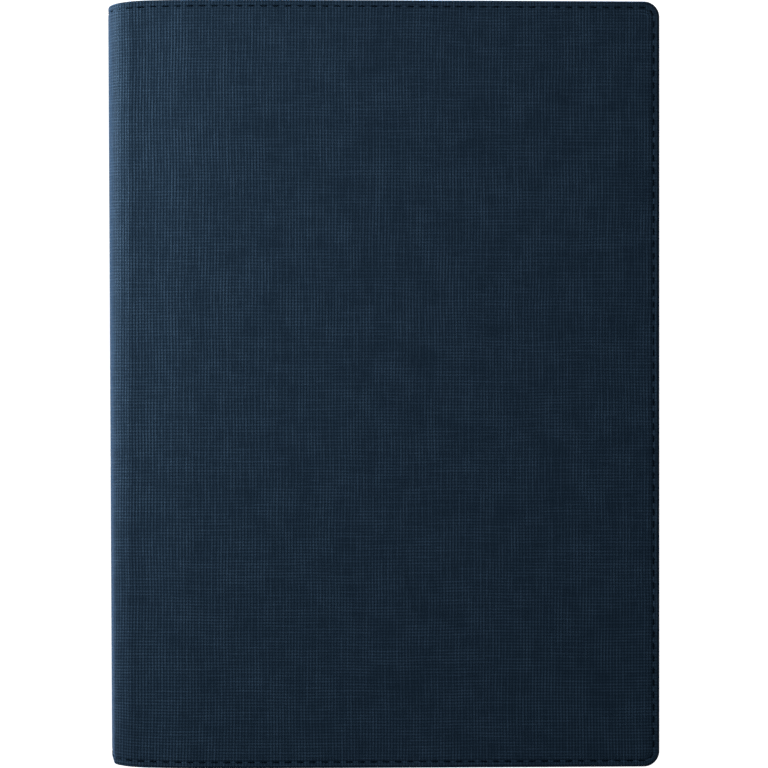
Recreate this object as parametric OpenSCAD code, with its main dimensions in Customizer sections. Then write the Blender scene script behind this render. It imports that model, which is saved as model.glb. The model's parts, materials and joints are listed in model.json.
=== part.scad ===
// Pilot logbook: a sewn block of pages whose card covers slide into a stitched leatherette case.
// The shut book lies on its back cover. +Z comes out of the front cover, +X points at the
// fore-edge and +Y at the head. The origin is the middle of the underside.
// A depth is always measured inwards from the outer face of the case.

/* [Case] */
// Width of the shut case, from spine to fore-edge
case_w = 155.5; // [140:0.5:175]
// Height of the case, from tail to head
case_h = 216; // [200:1:240]
// Thickness of the shut book
case_t = 19; // [18:0.5:24]
// Radius of the corners at the fore-edge
corner_r = 4.5; // [3.5:0.5:10]
// How far each spine crease lies inside the spine and inside the face beside it
crease_in = 2.3; // [2:0.1:2.4]
// Distance from the spine to the line where a cover starts to be stiff
joint_in = 11; // [10:0.5:14]
// Clearance on each side of a fold
fold_gap = 0.1; // [0.05:0.05:0.2]
// Height of the front cover's turning line above the outer face
lift = 0.3; // [0.2:0.1:0.6]

/* [Plies of the case] */
// Thickness of the leatherette skin
skin_t = 0.8; // [0.6:0.1:0.9]
// Thickness of the stiff boards
board_t = 1.4; // [1.3:0.1:1.8]
// Thickness of the spine's thin stiffener
stiffener_t = 0.35; // [0.25:0.05:0.4]
// Thickness of the lining
lining_t = 0.35; // [0.25:0.05:0.4]
// Thickness of the sleeve cloth
sleeve_t = 0.4; // [0.3:0.05:0.6]
// Width of a sleeve, from the fore-edge
sleeve_w = 65; // [40:1:90]
// Width of the skin that is turned in around the boards
turn_in = 3; // [2.6:0.1:3.4]
// Distance of the lining's edge inside the case's edge
lining_in = 0.4; // [0.2:0.1:0.8]
// Clearance between neighbouring plies
ply_gap = 0.05; // [0.03:0.01:0.08]

/* [Seam] */
// Distance of the seam from the edge
seam_in = 1.85; // [1.6:0.05:2]
// Width of the groove that the thread lies in
groove_w = 0.9; // [0.6:0.1:1]
// Depth of that groove
groove_d = 0.4; // [0.3:0.05:0.45]
// Width of the thread
thread_w = 0.7; // [0.4:0.05:0.7]
// Thickness of the thread
thread_t = 0.3; // [0.2:0.05:0.3]

/* [Page block] */
// How far the case stands past the pages on three sides
square_in = 3; // [3:0.1:5]
// Thickness of the block's own card covers
card_t = 0.35; // [0.25:0.05:0.4]
// Thickness of an endpaper
endpaper_t = 0.15; // [0.1:0.05:0.2]
// Thickness of the cloth glued along the sections' folds
mull_t = 0.5; // [0.3:0.1:0.6]
// How far the outermost sections are set back by the rounding of the block's spine
round_back = 1.6; // [0:0.2:2.4]
// Distance from the creases to the line where the block parts
part_in = 2; // [1.5:0.1:2.5]
// Clearance between that line and the cloth on the folds
part_gap = 0.15; // [0.1:0.05:0.3]
// How far that cloth stops short of the head and tail of the block
mull_end = 7; // [4:1:15]

/* [Hidden] */

// The two sides of the book, as the direction from the middle of the block.
front = 1;
back = -1;
spine_x = -case_w / 2;
fore_x = case_w / 2;
mid_z = case_t / 2;
crease_x = spine_x + crease_in;
joint_x = spine_x + joint_in;
board_x = joint_x + fold_gap + lining_t + ply_gap;

// The spine's outline is half an ellipse that passes through both creases.
bulge_z = mid_z;
bulge_x = crease_in / (1 - cos(asin(1 - crease_in / bulge_z)));

// Steps along the curves of the spine, the mull and a section's fold.
spine_steps = 14;
mull_steps = 6;
fold_steps = 8;

// How far a cutting shape runs past what it cuts, how far a zone reaches from its fold, and the
// least radius of a corner.
past = 1;
reach = 30;
least_r = 0.3;

// Depths of the plies, from the outer face inwards.
board_d = skin_t + ply_gap;
turned_d = board_d + board_t;
lining_d = turned_d + ply_gap;
card_d = lining_d + lining_t + ply_gap;
sleeve_d = card_d + card_t + ply_gap;
endpaper_d = sleeve_d + sleeve_t + 2 * ply_gap;
section_d = endpaper_d + endpaper_t + ply_gap;
soft_lining_d = skin_t + ply_gap;
spine_lining_d = soft_lining_d + stiffener_t + ply_gap;

// The page block.
sections_per_half = 6;
half_block = mid_z - ply_gap - section_d;
section_pitch = half_block / sections_per_half;
section_t = section_pitch - ply_gap;
part_x = crease_x + part_in;
mull_x = part_x + part_gap;
nose_x = mull_x + mull_t + 2 * ply_gap;
block_x = fore_x - square_in;
block_h = case_h - 2 * square_in;
mull_h = block_h - 2 * mull_end;

// A point of the spine's outline at an angle up from the middle, moved inwards by a depth.
function outline(angle, depth) =
    let (n = [cos(angle) / bulge_x, -sin(angle) / bulge_z])
    [spine_x + bulge_x * (1 - cos(angle)), mid_z + bulge_z * sin(angle)] + depth * n / norm(n);

// How far the block's rounding sets something back at a height.
function set_back(z) = round_back * pow((z - mid_z) / half_block, 2);

// The cross-section of a ply that wraps round the spine and runs on over both covers.
module wrap_outline(depth, thick) {
    over = fore_x + past;
    steps = [-spine_steps : spine_steps];
    outer = [for (i = steps) outline(90 * i / spine_steps, depth)];
    inner = [for (i = steps) outline(-90 * i / spine_steps, depth + thick)];
    polygon(concat(
        [[over, depth]], outer, [[over, case_t - depth]],
        [[over, case_t - depth - thick]], inner, [[over, depth + thick]]
    ));
}

// The parts of that cross-section that move as one. Each crease is cut at 45 degrees, and the
// cuts through both creases meet at the tip, half way up the block.
module zone(name) {
    tip = crease_x + mid_z - crease_in;
    inside = tip - sqrt(2) * fold_gap;
    beyond = tip + sqrt(2) * fold_gap;
    if (name == "spine")
        polygon([[inside, mid_z], [inside - reach, mid_z + reach], [inside - reach, mid_z - reach]]);
    if (name == "front_joint")
        beside_crease(beyond, joint_x - fold_gap, reach);
    if (name == "back_joint")
        beside_crease(beyond, joint_x + lining_t, -reach);
    if (name == "back")
        beside_crease(beyond, fore_x + 2 * past, -reach);
    if (name == "front")
        translate([joint_x + fold_gap, mid_z]) square([case_w, reach]);
}

// From the slanted cut through a crease to an upright line at the right, up or down from mid_z.
module beside_crease(tip, right, up) {
    polygon([[tip, mid_z], [tip - abs(up), mid_z + up], [right, mid_z + up], [right, mid_z]]);
}

// Stretches a cross-section along the height of the book.
module along_y(length) {
    rotate([90, 0, 0])
        linear_extrude(length, center = true)
            children();
}

// The outline of the case seen from above, cut off at the left and moved inwards.
// The card covers and the endpapers have the same outline further in.
module plan(left, inset) {
    r = max(corner_r - inset, least_r);
    right = fore_x - inset;
    top = case_h / 2 - inset;
    translate([left, -top]) square([right - r - left, 2 * top]);
    translate([left, r - top]) square([right - left, 2 * (top - r)]);
    for (s = [-1, 1])
        translate([right - r, s * (top - r)]) circle(r = r, $fn = 48);
}

// The line of the seam seen from above.
module seam_plan(width) {
    difference() {
        plan(spine_x - past, seam_in - width / 2);
        plan(spine_x - 2 * past, seam_in + width / 2);
    }
}

// A flat ply of the front or back cover.
module ply(side, depth, thick) {
    z = side == front ? case_t - depth - thick : depth;
    translate([0, 0, z])
        linear_extrude(thick)
            children();
}

// A ply that follows the outside of the case within one zone, with its children as its plan.
module wrap(name, depth, thick) {
    intersection() {
        along_y(case_h + 2 * past)
            intersection() {
                wrap_outline(depth, thick);
                zone(name);
            }
        translate([0, 0, -past])
            linear_extrude(case_t + 2 * past)
                children();
    }
}

// The skin within one zone, the groove that the seam lies in, and the seam's thread.
module skin(name) {
    wrap(name, 0, skin_t)
        plan(spine_x - past, 0);
}

module groove(name) {
    wrap(name, -past, past + groove_d)
        seam_plan(groove_w);
}

module thread(name) {
    color([0.05, 0.07, 0.11])
        wrap(name, groove_d - thread_t - ply_gap, thread_t)
            seam_plan(thread_w);
}

// The finished skin within one zone where there is no board.
module soft_skin(name) {
    color([0.11, 0.16, 0.22])
        difference() {
            skin(name);
            groove(name);
        }
}

// The lining within one zone where there is no board.
module soft_lining(name, depth) {
    color([0.10, 0.13, 0.18])
        wrap(name, depth, lining_t)
            plan(spine_x - past, lining_in);
}

// The skin of a stiff cover, with its edges turned in around the board.
module cover_skin(side, name) {
    color([0.11, 0.16, 0.22])
        difference() {
            union() {
                skin(name);
                ply(side, skin_t / 2, turned_d - skin_t / 2)
                    difference() {
                        plan(board_x, 0);
                        plan(board_x - past, turn_in);
                    }
            }
            groove(name);
        }
}

module cover_board(side) {
    color([0.55, 0.52, 0.46])
        ply(side, board_d, board_t)
            plan(board_x, turn_in + 2 * ply_gap);
}

// The lining of a stiff cover and its step up beside the board.
module cover_lining(side) {
    left = joint_x + fold_gap;
    color([0.10, 0.13, 0.18]) {
        ply(side, lining_d, lining_t)
            plan(left, lining_in);
        ply(side, soft_lining_d, lining_d + lining_t - soft_lining_d)
            translate([left, lining_in - case_h / 2])
                square([lining_t, case_h - 2 * lining_in]);
    }
}

// A sleeve: a cloth that is open towards the spine and closed along three edges.
module sleeve(side) {
    hem = square_in - lining_in - 4 * ply_gap;
    color([0.10, 0.13, 0.18]) {
        ply(side, sleeve_d, sleeve_t)
            plan(fore_x - sleeve_w, lining_in);
        ply(side, card_d, sleeve_d + sleeve_t - card_d)
            difference() {
                plan(fore_x - sleeve_w, lining_in);
                plan(fore_x - sleeve_w - past, lining_in + hem);
            }
    }
}

module card_cover(side) {
    color([0.16, 0.22, 0.34])
        ply(side, card_d, card_t)
            plan(board_x, square_in);
}

module endpaper(side) {
    color([0.90, 0.88, 0.82])
        ply(side, endpaper_d, endpaper_t)
            plan(nose_x + round_back, square_in);
}

// A folded section of eight leaves, counted up from the back cover.
module section(number) {
    above = number > sections_per_half;
    first = above ? mid_z + ply_gap : section_d;
    z = first + ply_gap / 2 + section_pitch * (number - 1 - (above ? sections_per_half : 0));
    r = section_t / 2;
    nose = nose_x + set_back(z + r);
    fold = [
        for (i = [0 : fold_steps])
            let (a = 90 + 180 * i / fold_steps)
            [nose + r + r * cos(a), z + r + r * sin(a)]
    ];
    color([0.93, 0.92, 0.88])
        along_y(block_h)
            polygon(concat([[block_x, z], [block_x, z + section_t]], fold));
}

// The cloth that holds the sections above (front) or below (back) together at their folds.
module mull(side) {
    heights = [
        for (i = [0 : mull_steps])
            mid_z + side * (ply_gap + (half_block - ply_gap) * i / mull_steps)
    ];
    outer = [for (z = heights) [mull_x + set_back(z), z]];
    inner = [for (i = [mull_steps : -1 : 0]) outer[i] + [mull_t, 0]];
    color([0.85, 0.84, 0.78])
        along_y(mull_h)
            polygon(concat(outer, inner));
}

module back_skin() cover_skin(back, "back");
module back_board() cover_board(back);
module back_lining() {
    cover_lining(back);
    soft_lining("back_joint", soft_lining_d);
}
module back_sleeve() sleeve(back);
module back_card_cover() card_cover(back);
module back_endpaper() endpaper(back);
module back_seam() thread("back");
module lower_mull() mull(back);
module section_01() section(1);
module section_02() section(2);
module section_03() section(3);
module section_04() section(4);
module section_05() section(5);
module section_06() section(6);
module section_07() section(7);
module section_08() section(8);
module section_09() section(9);
module section_10() section(10);
module section_11() section(11);
module section_12() section(12);
module upper_mull() mull(front);
module front_endpaper() endpaper(front);
module spine_skin() soft_skin("spine");
module spine_stiffener()
    color([0.55, 0.52, 0.46])
        wrap("spine", soft_lining_d, stiffener_t)
            plan(spine_x - past, turn_in);
module spine_lining() soft_lining("spine", spine_lining_d);
module spine_seam() thread("spine");
module joint_skin() soft_skin("front_joint");
module joint_lining() soft_lining("front_joint", soft_lining_d);
module joint_seam() thread("front_joint");
module front_skin() cover_skin(front, "front");
module front_board() cover_board(front);
module front_lining() cover_lining(front);
module front_sleeve() sleeve(front);
module front_card_cover() card_cover(front);
module front_seam() thread("front");

back_skin();
back_board();
back_lining();
back_sleeve();
back_card_cover();
back_endpaper();
back_seam();
lower_mull();
section_01();
section_02();
section_03();
section_04();
section_05();
section_06();
section_07();
section_08();
section_09();
section_10();
section_11();
section_12();
upper_mull();
front_endpaper();
spine_skin();
spine_stiffener();
spine_lining();
spine_seam();
joint_skin();
joint_lining();
joint_seam();
front_skin();
front_board();
front_lining();
front_sleeve();
front_card_cover();
front_seam();
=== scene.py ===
"""Pilot logbook: the looks of a shut logbook in a stitched leatherette case.

The case's skin and lining are modelled as sheets that run from cover to cover round the spine.
Both covers have the same shape, so every sheet is made once for the front and mirrored for the
back. Each is split only at the middle of the spine and beside it, where both sides lie on one body.
"""
import json
import math
import random

import bpy
from mathutils import Matrix, Vector, noise


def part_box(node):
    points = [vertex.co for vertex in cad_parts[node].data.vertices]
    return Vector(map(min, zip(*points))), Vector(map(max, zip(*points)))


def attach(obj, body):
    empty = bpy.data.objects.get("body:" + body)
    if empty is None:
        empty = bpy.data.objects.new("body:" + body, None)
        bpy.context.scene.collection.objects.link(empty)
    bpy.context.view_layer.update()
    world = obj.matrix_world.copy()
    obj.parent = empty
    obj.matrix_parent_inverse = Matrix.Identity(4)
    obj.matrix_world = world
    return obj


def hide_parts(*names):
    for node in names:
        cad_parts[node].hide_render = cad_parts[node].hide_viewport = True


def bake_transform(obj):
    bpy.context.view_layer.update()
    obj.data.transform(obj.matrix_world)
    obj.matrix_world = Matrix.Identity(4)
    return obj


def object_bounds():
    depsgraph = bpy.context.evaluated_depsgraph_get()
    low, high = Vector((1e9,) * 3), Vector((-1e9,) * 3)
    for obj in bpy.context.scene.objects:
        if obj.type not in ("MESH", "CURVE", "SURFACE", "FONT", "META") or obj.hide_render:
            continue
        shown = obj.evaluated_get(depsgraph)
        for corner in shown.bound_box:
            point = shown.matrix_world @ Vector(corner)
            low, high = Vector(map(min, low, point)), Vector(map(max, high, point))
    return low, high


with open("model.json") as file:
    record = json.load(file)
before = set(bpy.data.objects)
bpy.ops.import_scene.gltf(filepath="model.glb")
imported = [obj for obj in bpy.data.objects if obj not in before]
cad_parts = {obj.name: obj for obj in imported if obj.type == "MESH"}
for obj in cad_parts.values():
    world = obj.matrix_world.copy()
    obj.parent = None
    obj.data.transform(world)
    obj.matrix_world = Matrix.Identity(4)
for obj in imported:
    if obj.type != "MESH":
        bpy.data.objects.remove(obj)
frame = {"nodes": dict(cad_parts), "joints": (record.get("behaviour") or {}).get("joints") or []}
cad_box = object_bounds()

MM = 0.001

# ---------------------------------------------------------------- sizes, taken from the frame

joints = {joint["name"]: joint for joint in frame["joints"]}
low, high = cad_box
SPINE_X = low[0]
FORE_X = high[0]
HALF_H = high[1]
THICK = high[2]
MID_Z = THICK / 2
CREASE_IN = joints["back_crease"]["pos_m"][0] - SPINE_X
JOINT_X = joints["cover_opening"]["pos_m"][0]
CORNER_R = 4.5 * MM

# depths are counted inwards from the outer face of a cover
TURNED_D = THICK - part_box("front_board")[0].z
SLEEVE_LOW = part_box("front_sleeve")[0]
LINING_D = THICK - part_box("front_lining")[0].z
SOFT_LINING_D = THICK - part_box("joint_lining")[1].z
LINING_T = 0.35 * MM
SOFT_EDGE = 0.8 * MM
STIFFENER_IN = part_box("spine_stiffener")[0].x - SPINE_X
SLEEVE_X = SLEEVE_LOW.x
SLEEVE_D = THICK - SLEEVE_LOW.z

# the spine's outline is half an ellipse through both creases
BULGE_Z = MID_Z
BULGE_X = CREASE_IN / (1 - math.cos(math.asin(1 - CREASE_IN / BULGE_Z)))
FLAT_X = SPINE_X + BULGE_X

# how the soft case strays from the plain shape: the skin sinks beside the spine, the spine leans
# in towards the tail, its ends are a little shorter than the covers, and the skin is uneven
SHOULDER = 0.7 * MM
SHOULDER_START = 2.2 * MM
SHOULDER_DEEPEST = 5.2 * MM
SHOULDER_END = 25 * MM
TAPER = 1.1 * MM
DIP = 1.5 * MM
DIP_FADE = 9 * MM
TAIL_DIP = 1.1 * MM
TAIL_DIP_FADE = 0.8 * MM
UNEVEN = 0.05 * MM

# the seam: how far in it is, its stitches, and how deep they pull the skin and the lining in
SEAM_IN = 1.85 * MM
PITCH = 3.45 * MM
STITCH = 0.66 * PITCH
HEM_STITCH = 0.62 * PITCH
HOLE_DEPTH = 0.24 * MM
BEND_R = CORNER_R - SEAM_IN
BEND = BEND_R * math.pi / 2
SKIN_DENT = 0.15 * MM
LINING_DENT = -0.18 * MM


def smooth(a, b, x):
    """0 up to a, 1 from b on, and smooth between them."""
    t = min(max((x - a) / (b - a), 0), 1)
    return t * t * (3 - 2 * t)


# ---------------------------------------------------------------- the outline of the case

def arc_table(steps=180):
    """Lengths along the ellipse from the middle of the spine, one for each step of angle."""
    lengths = [0.0]
    for i in range(steps):
        a, b = (math.radians(90 * k / steps) for k in (i, i + 1))
        dx = BULGE_X * (math.cos(a) - math.cos(b))
        dz = BULGE_Z * (math.sin(b) - math.sin(a))
        lengths.append(lengths[-1] + math.hypot(dx, dz))
    return lengths


ARC = arc_table()
ARC_END = ARC[-1]


def along(x):
    """The length along the outline at which the flat of the cover reaches x."""
    return ARC_END + x - FLAT_X


FORE_T = along(FORE_X - CORNER_R)


def outline(t):
    """(x, z, inward x, inward z) of the front half of the outline at a length from mid-spine."""
    if t >= ARC_END:
        return FLAT_X + t - ARC_END, THICK, 0.0, -1.0
    step = next(i for i in range(len(ARC) - 1) if t <= ARC[i + 1])
    part = (t - ARC[step]) / (ARC[step + 1] - ARC[step])
    angle = math.radians(90 * (step + part) / (len(ARC) - 1))
    nx, nz = math.cos(angle) / BULGE_X, -math.sin(angle) / BULGE_Z
    size = math.hypot(nx, nz)
    x = SPINE_X + BULGE_X * (1 - math.cos(angle))
    return x, MID_Z + BULGE_Z * math.sin(angle), nx / size, nz / size


def case_point(t, y, depth, back=False):
    """A point of the case: t along the outline, y up the book, depth inwards from its face."""
    x, z, nx, nz = outline(t)
    d = x - SPINE_X
    sinking = smooth(SHOULDER_START, SHOULDER_DEEPEST, d)
    shoulder = SHOULDER * sinking * (1 - smooth(SHOULDER_DEEPEST, SHOULDER_END, d))
    wave = UNEVEN * noise.noise(Vector((t * 22, y * 22, 3.0 if back else 0.0)))
    outer_ply = 1 - smooth(0, SOFT_LINING_D, depth)
    inward = depth + (shoulder + wave) * outer_ply * smooth(0, 3 * MM, t)
    x += nx * inward
    z += nz * inward
    x += TAPER * (0.5 - y / (2 * HALF_H)) * (1 - smooth(0, CREASE_IN, d))
    side = 1 if y > 0 else -1
    dip = DIP * math.exp(-d / DIP_FADE)
    if side < 0:
        dip += TAIL_DIP * math.exp(-d / TAIL_DIP_FADE)
    y -= side * dip * smooth(0.7, 1, abs(y) / HALF_H)
    return Vector((x, y, THICK - z if back else z))


# ---------------------------------------------------------------- sheets with shaped edges

class Edge:
    """The cross-section of a sheet's edge, from its hidden end round to the flat of the sheet.

    Each point is (distance in from the case's edge, thickness of the edge there, depth of the
    dent there). The thickness counts in full on a stiff cover and less on the soft strip.
    """

    def __init__(self, points):
        self.points = [tuple(value * MM for value in point) for point in points]
        self.reach = [0.0] * len(points)
        for i in range(len(points) - 2, -1, -1):
            a, b = self.points[i], self.points[i + 1]
            step = math.hypot(a[0] - b[0], a[1] + a[2] - b[1] - b[2])
            self.reach[i] = self.reach[i + 1] + step

    def __len__(self):
        return len(self.points)


SKIN_EDGE = Edge([
    (2.6, 2.25, 0), (1.5, 2.25, 0), (0.95, 2.22, 0), (0.5, 2.06, 0), (0.18, 1.78, 0),
    (0.03, 1.45, 0), (0, 1.1, 0), (0.04, 0.76, 0), (0.17, 0.44, 0), (0.4, 0.2, 0),
    (0.7, 0.06, 0), (1.0, 0.01, 0.01), (1.25, 0, 0.04), (1.5, 0, 0.10), (1.7, 0, 0.14),
    (1.85, 0, 0.15), (2.0, 0, 0.14), (2.2, 0, 0.10), (2.45, 0, 0.04), (2.8, 0, 0.01),
    (3.3, 0, 0), (3.9, 0, 0), (4.5, 0, 0),
])

# a strip that is closed all round, seen from its head or tail
STIFFENER_EDGE = Edge([
    (4.5, 0.3, 0), (3.1, 0.3, 0), (3.0, 0.2, 0), (3.0, 0.1, 0), (3.1, 0, 0), (4.5, 0, 0),
])

# the lining's depths count from the face that shows, towards the face that is glued down
LINING_EDGE = Edge([
    (1.6, -0.35, 0), (0.55, -0.35, 0), (0.43, -0.28, 0), (0.4, -0.17, 0), (0.43, -0.07, 0),
    (0.52, 0, 0), (0.9, 0, 0), (1.35, 0, -0.05), (1.7, 0, -0.16), (1.85, 0, -0.18),
    (2.0, 0, -0.16), (2.35, 0, -0.05), (2.9, 0, 0), (3.6, 0, 0), (4.5, 0, 0),
])


def skin_depth(t, thickness, dent):
    """The soft strip and the spine have no board, so their edges are thinner."""
    x = outline(t)[0]
    stiff = smooth(JOINT_X - 2 * MM, JOINT_X + 3 * MM, x)
    soft = SOFT_EDGE / TURNED_D
    return thickness * (soft + (1 - soft) * stiff) + dent


def lining_depth(t, thickness, dent):
    """The lining lies right under the skin beside the spine and steps up over the board."""
    x = outline(t)[0]
    on_board = smooth(JOINT_X + 0.1 * MM, JOINT_X + 1.1 * MM, x)
    on_spine = 1 - smooth(SPINE_X + 0.8 * MM, SPINE_X + 1.8 * MM, x)
    soft = SOFT_LINING_D + LINING_T
    return soft + (LINING_D - soft) * on_board + 0.4 * MM * on_spine + thickness + dent


def stiffener_depth(t, thickness, dent):
    """The stiffener lies under the skin."""
    return STIFFENER_IN + thickness + dent


def crease_length(step=0.01 * MM):
    """The length along the outline from mid-spine to a crease."""
    return next(step * i for i in range(1, 1000) if outline(step * i)[0] >= SPINE_X + CREASE_IN)


CREASE_T = crease_length()


def span(start, end, step):
    """Evenly spread numbers from start to end, no more than step apart."""
    count = max(1, math.ceil((end - start) / step))
    return [start + (end - start) * i / count for i in range(count + 1)]


class Sheet:
    """A grid of columns along the outline and rows up the book, with shaped edges.

    A column is (length along the outline, ring, extra depth, length along the flattened sheet).
    A ring is a point of the edge's cross-section. A column or row off the edge has no ring, and a
    column on it has no length of its own. A row is (side, ring, y).
    """

    def __init__(self, edge, depth, stops, fore_edge, back=False, hem=()):
        self.edge = edge
        self.depth = depth
        self.back = back
        self.columns = [*hem, *self.spread(stops)]
        rings = range(len(edge) - 1)
        if fore_edge:
            self.columns += [(None, ring, 0, FORE_T + edge.reach[ring]) for ring in reversed(rings)]
        inner = HALF_H - CORNER_R
        self.rows = [(-1, ring, None) for ring in rings]
        self.rows += [(0, None, y) for y in span(-inner, inner, 4 * MM)]
        self.rows += [(1, ring, None) for ring in reversed(rings)]

    @staticmethod
    def spread(stops):
        """Columns between stops of the form (length along the outline, step up to there)."""
        values = [stops[0][0]]
        for (start, _), (end, step) in zip(stops, stops[1:]):
            values += span(start, end, step)[1:]
        return [(value, None, 0, value) for value in values]

    def place(self, column, row):
        """(t, y, thickness, dent) and the flattened place of one grid point."""
        t, ring_x, drop, flat_t = column
        side, ring_y, y = row
        edge, last = self.edge, len(self.edge) - 1
        ring = min(last if ring_x is None else ring_x, last if ring_y is None else ring_y)
        inset, thickness, dent = edge.points[ring]
        reach_x = edge.reach[last if ring_x is None else ring_x]
        reach_y = edge.reach[last if ring_y is None else ring_y]
        if ring_x is not None and ring_y is not None:
            angle = math.radians(45) * min(reach_x, reach_y) / max(reach_x, reach_y)
            if reach_y > reach_x:
                angle = math.radians(90) - angle
            radius = CORNER_R - inset
            t = along(FORE_X - CORNER_R + radius * math.cos(angle))
            y = side * (HALF_H - CORNER_R + radius * math.sin(angle))
        elif ring_x is not None:
            t = along(FORE_X - inset)
        elif ring_y is not None:
            y = side * (HALF_H - inset)
        flat_y = row[2] if ring_y is None else side * (HALF_H - CORNER_R + reach_y)
        return t, y, thickness, dent + drop, flat_t, flat_y

    def build(self, name):
        points, flats, faces = [], [], []
        for column in self.columns:
            for row in self.rows:
                t, y, thickness, dent, flat_t, flat_y = self.place(column, row)
                points.append(case_point(t, y, self.depth(t, thickness, dent), self.back))
                flats.append((flat_t, flat_y))
        count = len(self.rows)
        faces_in = self.edge is LINING_EDGE
        for i in range(len(self.columns) - 1):
            for j in range(count - 1):
                a = i * count + j
                quad = (a, a + count, a + count + 1, a + 1)
                faces.append(quad if self.back == faces_in else tuple(reversed(quad)))
        return make_mesh(name, points, faces, flats)


def make_mesh(name, points, faces, flats=None, flat_shaded=False):
    """A mesh object. flats, if given, are the points' places in metres when laid flat."""
    mesh = bpy.data.meshes.new(name)
    mesh.from_pydata([tuple(p) for p in points], [], faces)
    mesh.update()
    if flats:
        layer = mesh.uv_layers.new(name="Flat")
        for loop in mesh.loops:
            layer.data[loop.index].uv = [value / MM for value in flats[loop.vertex_index]]
    mesh.polygons.foreach_set("use_smooth", [not flat_shaded] * len(mesh.polygons))
    piece = bpy.data.objects.new(name, mesh)
    bpy.context.scene.collection.objects.link(piece)
    return piece


# ---------------------------------------------------------------- materials

class Material:
    """A procedural material, with short names for the nodes that the patterns need."""

    def __init__(self, name):
        self.material = bpy.data.materials.new(name)
        self.material.use_nodes = True
        self.nodes = self.material.node_tree.nodes
        self.links = self.material.node_tree.links
        self.shader = self.nodes["Principled BSDF"]

    def feed(self, socket, value):
        if isinstance(value, bpy.types.NodeSocket):
            self.links.new(value, socket)
        else:
            socket.default_value = value

    def math(self, operation, a, b=0.0):
        node = self.nodes.new("ShaderNodeMath")
        node.operation = operation
        self.feed(node.inputs[0], a)
        self.feed(node.inputs[1], b)
        return node.outputs[0]

    def add(self, a, b):
        return self.math("ADD", a, b)

    def times(self, a, b):
        return self.math("MULTIPLY", a, b)

    def range(self, value, low_in, high_in, low_out=0.0, high_out=1.0):
        node = self.nodes.new("ShaderNodeMapRange")
        node.interpolation_type = "SMOOTHSTEP"
        for key, number in zip(range(1, 5), (low_in, high_in, low_out, high_out)):
            node.inputs[key].default_value = number
        self.feed(node.inputs[0], value)
        return node.outputs[0]

    def place(self, kind="UV"):
        return self.nodes.new("ShaderNodeTexCoord").outputs[kind]

    def scaled(self, vector, x, y, z=1.0):
        node = self.nodes.new("ShaderNodeMapping")
        node.inputs["Scale"].default_value = (x, y, z)
        self.feed(node.inputs["Vector"], vector)
        return node.outputs[0]

    def joined(self, x, y, z):
        node = self.nodes.new("ShaderNodeCombineXYZ")
        for key, value in enumerate((x, y, z)):
            self.feed(node.inputs[key], value)
        return node.outputs[0]

    def split(self, vector):
        node = self.nodes.new("ShaderNodeSeparateXYZ")
        self.feed(node.inputs[0], vector)
        return node.outputs

    def noise(self, vector, scale, detail=2.0, rough=0.5):
        node = self.nodes.new("ShaderNodeTexNoise")
        node.inputs["Scale"].default_value = scale
        node.inputs["Detail"].default_value = detail
        node.inputs["Roughness"].default_value = rough
        self.feed(node.inputs["Vector"], vector)
        return node.outputs["Fac"]

    def waves(self, value, period, shift=0.0):
        """0 to 1 and back once in each period of value."""
        turns = self.add(self.times(value, 2 * math.pi / period), shift)
        return self.add(self.times(self.math("SINE", turns), 0.5), 0.5)

    def mix(self, factor, a, b):
        node = self.nodes.new("ShaderNodeMix")
        node.data_type = "RGBA"
        self.feed(node.inputs[0], factor)
        self.feed(node.inputs[6], (*a, 1.0) if isinstance(a, tuple) else a)
        self.feed(node.inputs[7], (*b, 1.0) if isinstance(b, tuple) else b)
        return node.outputs[2]

    def bump(self, height, distance, strength=1.0):
        node = self.nodes.new("ShaderNodeBump")
        node.inputs["Strength"].default_value = strength
        node.inputs["Distance"].default_value = distance
        self.feed(node.inputs["Height"], height)
        self.feed(self.shader.inputs["Normal"], node.outputs[0])

    def set(self, **values):
        for key, value in values.items():
            if isinstance(value, tuple):
                value = (*value, 1.0)
            self.feed(self.shader.inputs[key.replace("_", " ")], value)


# in millimetres, as the materials' patterns are
WEAVE = 0.87
LEAF_T = 0.1125

NAVY_DARK = (0.0014, 0.0031, 0.0056)
NAVY_LIGHT = (0.0053, 0.0102, 0.0170)


def threads(m, over, length, seed):
    """One set of embossed threads, side by side over one way and each running along the other.

    Each thread stands out in some stretches of its length and fades in others.
    """
    drift = m.noise(m.joined(m.times(over, 0.03), m.times(length, 0.03), seed), 1.0, 1.0)
    place = m.add(over, m.times(drift, 1.2))
    number = m.math("FLOOR", m.times(place, 1 / WEAVE))
    ridge = m.waves(place, WEAVE, -math.pi / 2)
    stretch = m.noise(m.joined(m.times(number, 5.7), m.times(length, 0.10), seed), 1.0, 2.0)
    return m.times(ridge, m.range(stretch, 0.38, 0.62, 0.60, 1.05))


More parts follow.
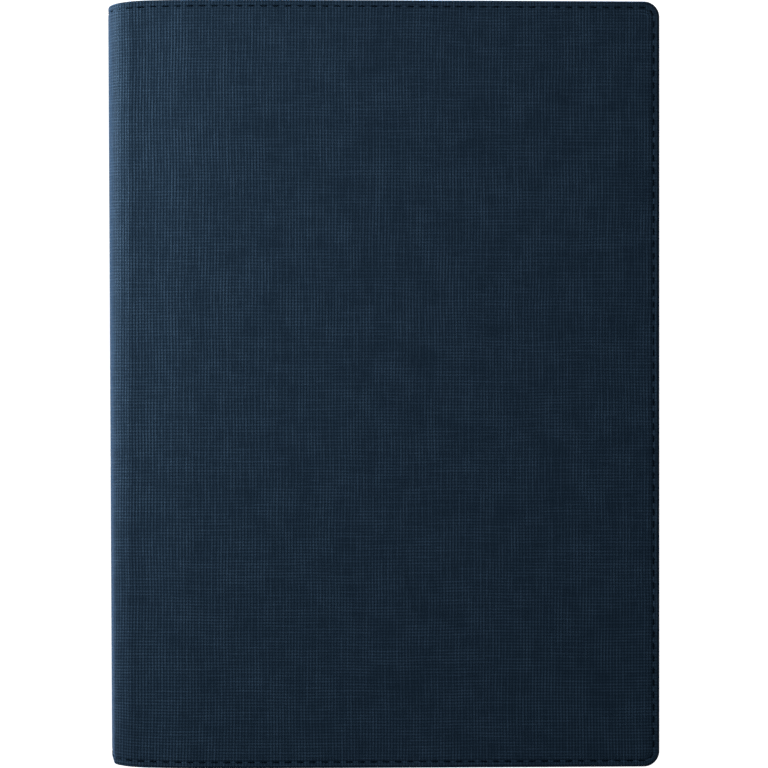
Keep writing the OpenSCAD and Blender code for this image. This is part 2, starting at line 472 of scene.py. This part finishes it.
def leatherette():
    """Navy leatherette, embossed with a crosshatch that is stronger in some patches.

    Its upright threads are a little stronger beside the spine.
    """
    m = Material("leatherette")
    flat = m.place("UV")
    across, up = m.split(flat)[:2]
    near_spine = m.range(across, 12.0, 70.0, 0.22, 0.0)
    patch_v = m.range(m.noise(m.scaled(flat, 0.14, 0.08), 1.0, 2.0), 0.35, 0.65, 0.65, 0.95)
    patch_h = m.range(m.noise(m.scaled(flat, 0.08, 0.16, 2.0), 1.0, 2.0), 0.35, 0.65, 0.65, 0.98)
    upright = m.times(threads(m, across, up, 3.0), m.add(patch_v, near_spine))
    level = m.times(threads(m, up, across, 11.0), patch_h)
    weave = m.add(upright, level)
    grain = m.noise(flat, 5.0, 2.0)
    cloudy = m.noise(flat, 0.05, 2.0)
    height = m.add(weave, m.times(grain, 0.35))
    tone = m.add(m.times(height, 0.62), m.times(cloudy, 0.10))
    m.set(Base_Color=m.mix(m.range(tone, 0.15, 1.25), NAVY_DARK, NAVY_LIGHT))
    m.set(Roughness=m.range(height, 0.0, 1.5, 0.68, 0.52))
    m.set(Specular_IOR_Level=0.03, Specular_Tint=(0.30, 0.62, 1.0))
    m.set(Sheen_Weight=0.3, Sheen_Roughness=0.3, Sheen_Tint=(0.10, 0.35, 0.80))
    m.bump(height, 0.10 * MM, 0.75)
    return m.material


def thread():
    """Dark sewing thread, with the twist of its strands."""
    m = Material("thread")
    around, length = m.split(m.place("UV"))[:2]
    twist = m.waves(m.add(m.times(length, 1.0), m.times(around, 0.55)), 0.5)
    colour = m.mix(twist, (0.0004, 0.0010, 0.0018), (0.0011, 0.0024, 0.0042))
    m.set(Base_Color=colour, Roughness=0.8, Specular_IOR_Level=0.0)
    m.bump(twist, 0.06 * MM)
    return m.material


def cloth(name, dark, light, pitch, coordinates="UV", scale=1.0):
    """A plain weave: each thread passes over and under the ones across it."""
    m = Material(name)
    place = m.scaled(m.place(coordinates), scale, scale, scale)
    across, up = m.split(place)[:2]
    warp = m.waves(across, pitch)
    weft = m.waves(up, pitch)
    over = m.waves(m.add(across, up), 2 * pitch)
    weave = m.add(m.times(warp, over), m.times(weft, m.math("SUBTRACT", 1.0, over)))
    uneven = m.noise(place, 0.6 / pitch, 3.0)
    tone = m.add(m.times(weave, 0.7), m.times(uneven, 0.5))
    m.set(Base_Color=m.mix(m.range(tone, 0.1, 1.1), dark, light), Roughness=0.85)
    m.set(Specular_IOR_Level=0.1, Sheen_Weight=0.04)
    m.bump(weave, 0.12 * MM, 0.7)
    return m.material


def fibrous(name, dark, light, rough=0.85):
    """Card or board: cloudy, with short fibres."""
    m = Material(name)
    place = m.scaled(m.place("Object"), 1000, 1000, 1000)
    fibres = m.noise(m.scaled(place, 1.0, 6.0, 6.0), 0.8, 4.0, 0.65)
    cloudy = m.noise(place, 0.12, 2.0)
    tone = m.add(m.times(fibres, 0.7), m.times(cloudy, 0.4))
    m.set(Base_Color=m.mix(m.range(tone, 0.25, 0.85), dark, light), Roughness=rough)
    m.set(Specular_IOR_Level=0.3)
    m.bump(fibres, 0.05 * MM, 0.5)
    return m.material


def paper(name="paper", ruled=False):
    """Uncoated paper. Its cut edges show the leaves as painted shade lines between them, and a
    ruled page has a blank table.
    """
    m = Material(name)
    place = m.scaled(m.place("Object"), 1000, 1000, 1000)
    x, y, z = m.split(place)[:3]
    fibres = m.noise(place, 1.6, 4.0, 0.6)
    # painted shade: the colour darkens in a line between each two leaves on the cut edges, and the
    # same lines also make a bump
    leaves = m.waves(z, LEAF_T)
    tone = m.add(m.times(fibres, 0.6), m.times(leaves, 0.25))
    colour = m.mix(m.range(tone, 0.2, 0.8), (0.70, 0.67, 0.60), (0.90, 0.88, 0.82))
    if ruled:
        colour = m.mix(table_lines(m, x, y), colour, (0.10, 0.17, 0.30))
    m.set(Base_Color=colour, Roughness=0.9, Specular_IOR_Level=0.2)
    m.bump(m.add(fibres, leaves), 0.02 * MM, 0.5)
    return m.material


def line(m, value, at, width=0.22):
    """1 within half a width of one value, else 0."""
    away = m.math("ABSOLUTE", m.math("SUBTRACT", value, at))
    return m.math("LESS_THAN", away, width / 2)


def repeated_line(m, value, pitch, width=0.16):
    """1 on a line every pitch, else 0."""
    away = m.math("ABSOLUTE", m.math("SUBTRACT", m.math("FRACT", m.times(value, 1 / pitch)), 0.5))
    return m.math("LESS_THAN", away, width / pitch / 2)


def table_lines(m, x, y):
    """A blank ruled table: rows all the way down and columns of a few widths."""
    head, foot = HALF_H / MM - 30, 22 - HALF_H / MM
    left, right = SPINE_X / MM + 17, FORE_X / MM - 13
    inside_y = m.times(m.math("LESS_THAN", y, head), m.math("GREATER_THAN", y, foot))
    inside_x = m.times(m.math("LESS_THAN", x, right), m.math("GREATER_THAN", x, left))
    rows = m.times(repeated_line(m, y, 7.8), inside_x)
    columns = line(m, x, left)
    for share in (0.12, 0.26, 0.40, 0.47, 0.54, 0.68, 0.80, 0.90, 1.0):
        columns = m.math("MAXIMUM", columns, line(m, x, left + share * (right - left)))
    frame_lines = m.math("MAXIMUM", line(m, y, head, 0.4), line(m, y, foot, 0.4))
    lines = m.math("MAXIMUM", m.times(rows, inside_y), m.times(columns, inside_y))
    return m.math("MAXIMUM", lines, m.times(frame_lines, inside_x))


LEATHERETTE = leatherette()
THREAD = thread()
LINING = cloth("lining", (0.004, 0.006, 0.010), (0.020, 0.028, 0.042), 0.45)
SLEEVE = cloth("sleeve_cloth", (0.006, 0.009, 0.014), (0.026, 0.036, 0.052), 0.6)
MULL = cloth("mull", (0.34, 0.32, 0.26), (0.74, 0.71, 0.62), 0.9, "Object", 1000)
BOARD = fibrous("greyboard", (0.20, 0.18, 0.15), (0.36, 0.33, 0.28))
CARD = fibrous("card", (0.030, 0.045, 0.080), (0.055, 0.080, 0.130), 0.6)
PAPER = paper()
RULED = paper("ruled_paper", ruled=True)
ENDPAPER = fibrous("endpaper", (0.70, 0.67, 0.58), (0.82, 0.79, 0.70))


def dress(piece, *materials):
    """Gives a piece its materials in place of any that it has."""
    piece.data.materials.clear()
    for material in materials:
        piece.data.materials.append(material)


# ---------------------------------------------------------------- skin and lining

# the middle of the soft strip, where the spine's sheet and the front cover's sheet meet
STRIP_T = along((FLAT_X + JOINT_X) / 2)

# stops for the columns, which stand close together where a sheet bends
FOLD = [(along(JOINT_X - 1.4 * MM), 0.6 * MM), (along(JOINT_X + 1.4 * MM), 0.14 * MM)]
SPINE_STOPS = [(0.0, 0), (STRIP_T, 0.3 * MM)]
FRONT_STOPS = [(STRIP_T, 0), *FOLD, (along(JOINT_X + 16 * MM), 1.5 * MM), (FORE_T, 4 * MM)]
BACK_STOPS = [*SPINE_STOPS, *FRONT_STOPS[1:]]


def wrap_case(kind, edge, depth, material):
    """One material of the case, from cover to cover, as three sheets."""
    back = Sheet(edge, depth, BACK_STOPS, True, back=True).build(f"{kind}_back")
    spine = Sheet(edge, depth, SPINE_STOPS, False).build(f"{kind}_spine_front")
    front = Sheet(edge, depth, FRONT_STOPS, True).build(f"{kind}_front")
    for piece in (back, spine, front):
        dress(piece, material)
    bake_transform(back)
    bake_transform(spine)
    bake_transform(front)
    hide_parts(f"back_{kind}")
    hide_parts(f"spine_{kind}", f"joint_{kind}")
    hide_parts(f"front_{kind}")
    return back, spine, front


skins = wrap_case("skin", SKIN_EDGE, skin_depth, LEATHERETTE)
wrap_case("lining", LINING_EDGE, lining_depth, LINING)


def stiffener_strips():
    """The thin card inside the spine, as one strip for each half of the spine."""
    for back in (False, True):
        stops = [(0.0, 0), (CREASE_T - 0.7 * MM, 0.3 * MM)]
        sheet = Sheet(STIFFENER_EDGE, stiffener_depth, stops, False, back)
        piece = sheet.build(f"stiffener_{'back' if back else 'front'}")
        dress(piece, BOARD)
        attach(piece, "spine")
        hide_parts("spine_stiffener")


stiffener_strips()


# ---------------------------------------------------------------- stitches

def seam_spot(s):
    """(t, y) on the seam at a length from mid-spine, along the head and down the fore-edge."""
    if s < FORE_T:
        return s, HALF_H - SEAM_IN
    if s < FORE_T + BEND:
        angle = (s - FORE_T) / BEND_R
        x = FORE_X - CORNER_R + BEND_R * math.sin(angle)
        return along(x), HALF_H - CORNER_R + BEND_R * math.cos(angle)
    return along(FORE_X - SEAM_IN), HALF_H - CORNER_R - (s - FORE_T - BEND)


def seam_path():
    """Both ends (t, y) of each stitch, from mid-spine at the head round to the tail."""
    half = FORE_T + BEND + HALF_H - CORNER_R
    count = round(2 * half / PITCH)
    path = []
    for i in range(count):
        s = (i + 0.5) * 2 * half / count
        down = s > half
        from_end = 2 * half - s if down else s
        ends = [seam_spot(from_end - STITCH / 2), seam_spot(from_end + STITCH / 2)]
        path.append([(t, -y) for t, y in reversed(ends)] if down else ends)
    return path


def stitch_body(t, back):
    """Which body the stitch at a length along the outline rides on."""
    if t < CREASE_T:
        return "spine"
    if back:
        return "back_cover"
    return "front_joint" if outline(t)[0] < JOINT_X else "front_cover"


def add_stitch(points, faces, flats, start, end, inward, width, swing):
    """One stitch: a thread that rises out of its needle hole and dives into the next."""
    steps, sides = 8, 8
    run = end - start
    across = run.cross(inward).normalized()
    first = len(points)
    for i in range(steps + 1):
        s = i / steps
        rise = 1 - (2 * s - 1) ** 6
        centre = start + run * s + inward * HOLE_DEPTH * (1 - rise)
        centre += across * swing * (s - 0.5)
        thick = width * (0.55 + 0.45 * rise)
        for k in range(sides):
            a = 2 * math.pi * k / sides
            sideways, outward = thick * math.cos(a) / 2, thick * 0.42 * math.sin(a)
            points.append(centre + across * sideways - inward * outward)
            flats.append((k / sides * MM, s * run.length))
    for i in range(steps):
        for k in range(sides):
            a, b = first + i * sides + k, first + i * sides + (k + 1) % sides
            faces.append((a, b, b + sides, a + sides))
    faces.append(tuple(first + k for k in reversed(range(sides))))
    faces.append(tuple(first + steps * sides + k for k in range(sides)))


def stitches(name, depth, dent, back, inside):
    """The stitches that show on one face of one half of the case, as one piece for each body."""
    chance = random.Random(7)
    groups = {}
    for (t0, y0), (t1, y1) in seam_path():
        middle_t = (t0 + t1) / 2
        here = case_point(t0, y0, depth(t0, 0, dent), back)
        ahead = case_point(t1, y1, depth(t1, 0, dent), back)
        deeper = case_point(middle_t, (y0 + y1) / 2, depth(middle_t, 0, dent) + MM, back)
        run = (ahead - here).normalized()
        inward = deeper - (here + ahead) / 2
        inward = (inward - run * inward.dot(run)).normalized()
        if inside:
            inward = -inward
        body = stitch_body(middle_t, back)
        points, faces, flats = groups.setdefault(body, ([], [], []))
        swing = chance.uniform(-0.12, 0.12) * MM
        width = chance.uniform(0.44, 0.52) * MM
        add_stitch(points, faces, flats, here, ahead, inward, width, swing)
    made = {}
    for body, (points, faces, flats) in groups.items():
        piece = make_mesh(f"{name}_{body}", points, faces, flats)
        dress(piece, THREAD)
        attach(piece, body)
        made[body] = piece
    return made


def skin_face(t, thickness, dent):
    """The outer face of the case is the depth that everything else is counted from."""
    return dent


def inner_face(t, thickness, dent):
    """The inside of the case is the lining, and the sleeve near the fore-edge."""
    if outline(t)[0] < SLEEVE_X:
        return lining_depth(t, thickness, dent)
    return sleeve_depth(t, thickness, dent)


# ---------------------------------------------------------------- sleeves

HEM_W = 5 * MM
HEM_T = 0.15 * MM
HEM_SEAM = 4.1 * MM

# the folded hem at the open edge: its depths count from its face, as the lining's do
HEM = Edge([
    (5.0, -0.35, 0), (0.4, -0.35, 0), (0.1, -0.29, 0), (0, -0.18, 0), (0.1, -0.06, 0),
    (0.3, 0, 0), (0.9, 0, 0),
])


def sleeve_depth(t, thickness, dent):
    """The face of a sleeve, which stands proud by the hem's thickness along the open edge."""
    past_hem = smooth(SLEEVE_X + HEM_W, SLEEVE_X + HEM_W + 0.2 * MM, outline(t)[0])
    stitched = math.exp(-((outline(t)[0] - SLEEVE_X - HEM_SEAM) / (0.4 * MM)) ** 2)
    return SLEEVE_D - HEM_T * past_hem - 0.1 * MM * stitched + thickness + dent


def sleeve(side, back):
    """A cloth pocket: closed along three edges, with a folded hem at its open edge."""
    stops = [
        (along(SLEEVE_X + 0.9 * MM), 0), (along(SLEEVE_X + HEM_SEAM - MM), 0.8 * MM),
        (along(SLEEVE_X + HEM_W + 0.4 * MM), 0.1 * MM), (FORE_T, 3 * MM),
    ]
    start = stops[0][0]
    hem = [
        (along(SLEEVE_X + inset), None, depth, start - reach)
        for (inset, depth, _), reach in zip(HEM.points[:-1], HEM.reach)
    ]
    piece = Sheet(LINING_EDGE, sleeve_depth, stops, True, back, hem).build(f"sleeve_{side}")
    dress(piece, SLEEVE)
    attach(piece, f"{side}_cover")
    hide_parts(f"{side}_sleeve")


def hem_stitches(side, back):
    """The row of stitches that holds the hem down."""
    points, faces, flats = [], [], []
    chance = random.Random(11)
    t = along(SLEEVE_X + HEM_SEAM)
    end = HALF_H - 2 * SEAM_IN
    for y in span(-end, end, PITCH)[:-1]:
        here, ahead = (
            case_point(t, place, sleeve_depth(t, 0, 0), back) for place in (y, y + HEM_STITCH)
        )
        inward = Vector((0, 0, 1 if not back else -1))
        swing = chance.uniform(-0.08, 0.08) * MM
        add_stitch(points, faces, flats, here, ahead, inward, 0.42 * MM, swing)
    piece = make_mesh(f"hem_stitches_{side}", points, faces, flats)
    dress(piece, THREAD)
    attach(piece, f"{side}_cover")


for side, back in (("front", False), ("back", True)):
    sleeve(side, back)
    hem_stitches(side, back)


# ---------------------------------------------------------------- seams

outer_front = stitches("stitches_front", skin_face, SKIN_DENT, False, False)
outer_back = stitches("stitches_back", skin_face, SKIN_DENT, True, False)
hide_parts("front_seam")
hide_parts("joint_seam")
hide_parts("spine_seam")
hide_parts("back_seam")
stitches("inner_stitches_front", inner_face, LINING_DENT, False, True)
stitches("inner_stitches_back", inner_face, LINING_DENT, True, True)


# ---------------------------------------------------------------- pages

SHEETS = 4
FOLD_STEPS = 10


def folded_sheet(points, faces, lo, hi, number, chance):
    """One sheet of a section, folded at the left round the sheets inside it."""
    radius = (hi.z - lo.z) / 2
    step = radius / SHEETS
    centre_x, centre_z = lo.x + radius, lo.z + radius
    outer_r = radius - (number + 0.04) * step
    inner_r = radius - (number + 0.96) * step
    top = hi.y - chance.uniform(0, 0.14) * MM
    foot = lo.y + chance.uniform(0, 0.14) * MM
    angles = [math.radians(270 - 180 * i / FOLD_STEPS) for i in range(FOLD_STEPS + 1)]
    stations = [
        [(centre_x + r * math.cos(a), centre_z + r * math.sin(a)) for r in (outer_r, inner_r)]
        for a in angles
    ]
    for end in (0, -1):
        right = hi.x - chance.uniform(0, 0.16) * MM
        flat = [(right, z) for _, z in stations[end]]
        stations.insert(0 if end == 0 else len(stations), flat)
    first = len(points)
    for outer, inner in stations:
        corners = (outer, foot), (outer, top), (inner, top), (inner, foot)
        points += [(x, y, z) for (x, z), y in corners]
    for i in range(len(stations) - 1):
        for k in range(4):
            a, b = first + 4 * i + k, first + 4 * i + (k + 1) % 4
            faces.append((a, b, b + 4, a + 4))
    faces.append(tuple(first + k for k in (3, 2, 1, 0)))
    faces.append(tuple(first + 4 * (len(stations) - 1) + k for k in range(4)))


def leaves(number):
    """One section: four folded sheets, which make eight leaves, each trimmed a hair differently."""
    node = f"section_{number:02d}"
    lo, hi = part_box(node)
    chance = random.Random(number)
    points, faces = [], []
    for sheet in range(SHEETS):
        folded_sheet(points, faces, lo, hi, sheet, chance)
    piece = make_mesh(f"leaves_{number:02d}", points, faces, flat_shaded=True)
    dress(piece, PAPER, RULED)
    for face in piece.data.polygons:
        if abs(face.normal.z) > 0.99:
            face.material_index = 1
    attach(piece, "back_cover" if number <= 6 else "upper_sections")
    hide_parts(node)


for number in range(1, 13):
    leaves(number)


# ---------------------------------------------------------------- CAD pieces that stay

for side in ("front", "back"):
    dress(frame["nodes"][f"{side}_board"], BOARD)
    dress(frame["nodes"][f"{side}_card_cover"], CARD)
    dress(frame["nodes"][f"{side}_endpaper"], ENDPAPER)
for half in ("lower", "upper"):
    dress(frame["nodes"][f"{half}_mull"], MULL)


# ---------------------------------------------------------------- floor, light and camera

def floor():
    """A plain floor that glows a little, so that it is pure white up to the horizon."""
    size = 30.0
    corners = [(-size, -size), (size, -size), (size, size), (-size, size)]
    ground = make_mesh("floor", [(x, y, -0.1 * MM) for x, y in corners], [(0, 1, 2, 3)])
    m = Material("pale_floor")
    m.set(Base_Color=(0.93, 0.93, 0.93), Roughness=0.9, Specular_IOR_Level=0.1)
    m.set(Emission_Color=(1.0, 1.0, 1.0), Emission_Strength=0.6)
    dress(ground, m.material)


def softbox(name, place, aim, size, power):
    lamp = bpy.data.lights.new(name, "AREA")
    lamp.shape = "RECTANGLE"
    lamp.size, lamp.size_y = size
    lamp.energy = power
    piece = bpy.data.objects.new(name, lamp)
    bpy.context.scene.collection.objects.link(piece)
    piece.location = place
    piece.rotation_euler = Vector(aim).to_track_quat("-Z", "Y").to_euler()
    return piece


def light_only(lamp, pieces):
    """Keeps a light off everything but these pieces."""
    group = bpy.data.collections.new(f"lit_by_{lamp.name}")
    for piece in pieces:
        group.objects.link(piece)
    lamp.light_linking.receiver_collection = group


def camera():
    """Looks straight down on the cover, from a little to the spine's side."""
    distance, view_width, yaw = 1.0, 0.2179, math.radians(2.6)
    target = Vector(((SPINE_X + FORE_X) / 2 + 0.30 * MM, 0, MID_Z))
    lens = bpy.data.cameras.new("camera")
    lens.sensor_width = 36
    lens.lens = lens.sensor_width * distance / view_width
    piece = bpy.data.objects.new("camera", lens)
    bpy.context.scene.collection.objects.link(piece)
    away = Vector((-math.sin(yaw), 0, math.cos(yaw)))
    side = Vector((0, 1, 0)).cross(away)
    turn = Matrix((side, Vector((0, 1, 0)), away)).transposed().to_4x4()
    piece.matrix_world = Matrix.Translation(target + away * distance) @ turn
    bpy.context.scene.camera = piece


def studio():
    """The even light all round."""
    world = bpy.data.worlds.new("studio")
    world.use_nodes = True
    background = world.node_tree.nodes["Background"]
    background.inputs["Color"].default_value = (0.96, 0.98, 1.0, 1.0)
    background.inputs["Strength"].default_value = 0.68
    bpy.context.scene.world = world
    bpy.context.scene.view_settings.view_transform = "Standard"


# the key light grazes the leatherette from beside the spine
floor()
key = softbox("key", (SPINE_X - 250 * MM, 110 * MM, 48 * MM), (1, 0, -0.1), (0.09, 0.6), 20.0)
light_only(key, [*skins, *outer_front.values(), *outer_back.values()])
softbox("overhead", (-0.2, 0.3, 1.3), (0.2, -0.3, -1.3), (1.2, 1.2), 5.0)
camera()
studio()
